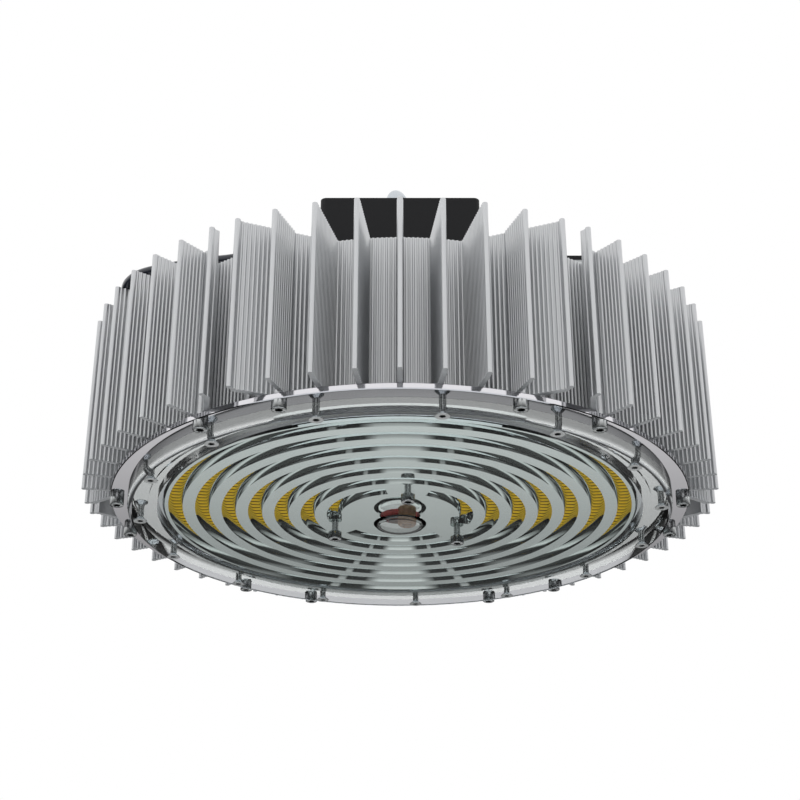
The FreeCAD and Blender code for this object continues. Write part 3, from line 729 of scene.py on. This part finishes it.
def makeFloor():
    s = studio["floorSize"] / 2
    mesh = bpy.data.meshes.new("studioFloor")
    mesh.from_pydata([(x, y, studio["floorZ"]) for x, y in ((-s, -s), (s, -s), (s, s), (-s, s))], [],
                     [(0, 1, 2, 3)])
    floor = bpy.data.objects.new("studioFloor", mesh)
    bpy.context.scene.collection.objects.link(floor)
    mesh.materials.append(grainMaterial("studioPaper", (3, 3, 3), (0.62, 0.64, 0.64), (0.64, 0.66, 0.66),
                                        (0.8, 0.9), 0.0))


def makeRamp(nodes, stops):
    ramp = nodes.new("ShaderNodeValToRGB")
    ends = ramp.color_ramp.elements
    for element, (position, value) in zip((ends[0], ends[1]), (stops[0], stops[-1])):
        element.position = position
        element.color = (value, value, value, 1)
    for position, value in stops[1:-1]:
        ends.new(position).color = (value, value, value, 1)
    return ramp


def makeWorld():
    world = bpy.data.worlds.new("studioWorld")
    bpy.context.scene.world = world
    world.use_nodes = True
    nodes, links = world.node_tree.nodes, world.node_tree.links
    soft = nodes["Background"]      # light on the object
    soft.inputs["Color"].default_value = (*studio["worldColour"], 1)
    soft.inputs["Strength"].default_value = studio["worldStrength"]
    white = nodes.new("ShaderNodeBackground")      # what the camera sees behind the object
    white.inputs["Color"].default_value = (1, 1, 1, 1)
    room = nodes.new("ShaderNodeBackground")      # what metal and glass show: pale and dark bands
    place = nodes.new("ShaderNodeTexCoord")
    split = nodes.new("ShaderNodeSeparateXYZ")
    links.new(place.outputs["Generated"], split.inputs[0])
    height = nodes.new("ShaderNodeMapRange")      # from straight down to straight up
    height.inputs["From Min"].default_value = -1
    links.new(split.outputs["Z"], height.inputs["Value"])
    shade = makeRamp(nodes, studio["roomShades"])
    links.new(height.outputs["Result"], shade.inputs["Fac"])
    sideways = nodes.new("ShaderNodeMath")
    sideways.operation = "ABSOLUTE"
    links.new(split.outputs["X"], sideways.inputs[0])
    panels = makeRamp(nodes, studio["sideShades"])
    links.new(sideways.outputs[0], panels.inputs["Fac"])
    low = nodes.new("ShaderNodeMapRange")      # the side panels stand below eye level only
    low.inputs["From Min"].default_value = studio["panelsGone"]
    low.inputs["From Max"].default_value = studio["panelsFull"]
    links.new(split.outputs["Z"], low.inputs["Value"])
    both = nodes.new("ShaderNodeMix")
    both.data_type = "RGBA"
    both.blend_type = "MULTIPLY"
    links.new(low.outputs["Result"], both.inputs["Factor"])
    links.new(shade.outputs["Color"], both.inputs["A"])
    links.new(panels.outputs["Color"], both.inputs["B"])
    links.new(both.outputs["Result"], room.inputs["Color"])
    ray = nodes.new("ShaderNodeLightPath")
    mirrored = nodes.new("ShaderNodeMath")
    mirrored.operation = "MAXIMUM"
    links.new(ray.outputs["Is Glossy Ray"], mirrored.inputs[0])
    links.new(ray.outputs["Is Transmission Ray"], mirrored.inputs[1])
    around = nodes.new("ShaderNodeMixShader")
    links.new(mirrored.outputs[0], around.inputs["Fac"])
    links.new(soft.outputs["Background"], around.inputs[1])
    links.new(room.outputs["Background"], around.inputs[2])
    seen = nodes.new("ShaderNodeMixShader")
    links.new(ray.outputs["Is Camera Ray"], seen.inputs["Fac"])
    links.new(around.outputs["Shader"], seen.inputs[1])
    links.new(white.outputs["Background"], seen.inputs[2])
    links.new(seen.outputs["Shader"], nodes["World Output"].inputs["Surface"])


def makeLamp(name, place, width, height, power):
    data = bpy.data.lights.new(name, "AREA")
    data.shape = "RECTANGLE"
    data.size, data.size_y = width, height
    data.energy = power
    lamp = bpy.data.objects.new(name, data)
    lamp.location = place
    lamp.visible_glossy = lamp.visible_transmission = False      # metal and glass show the room only
    lamp.rotation_euler = (Vector((0, 0, finBottom)) - Vector(place)).to_track_quat("-Z", "Y").to_euler()
    bpy.context.scene.collection.objects.link(lamp)


makeFloor()
makeWorld()
for lamp in studio["lamps"]:
    makeLamp(*lamp)
bpy.context.scene.view_settings.view_transform = "Standard"
print("studio done")
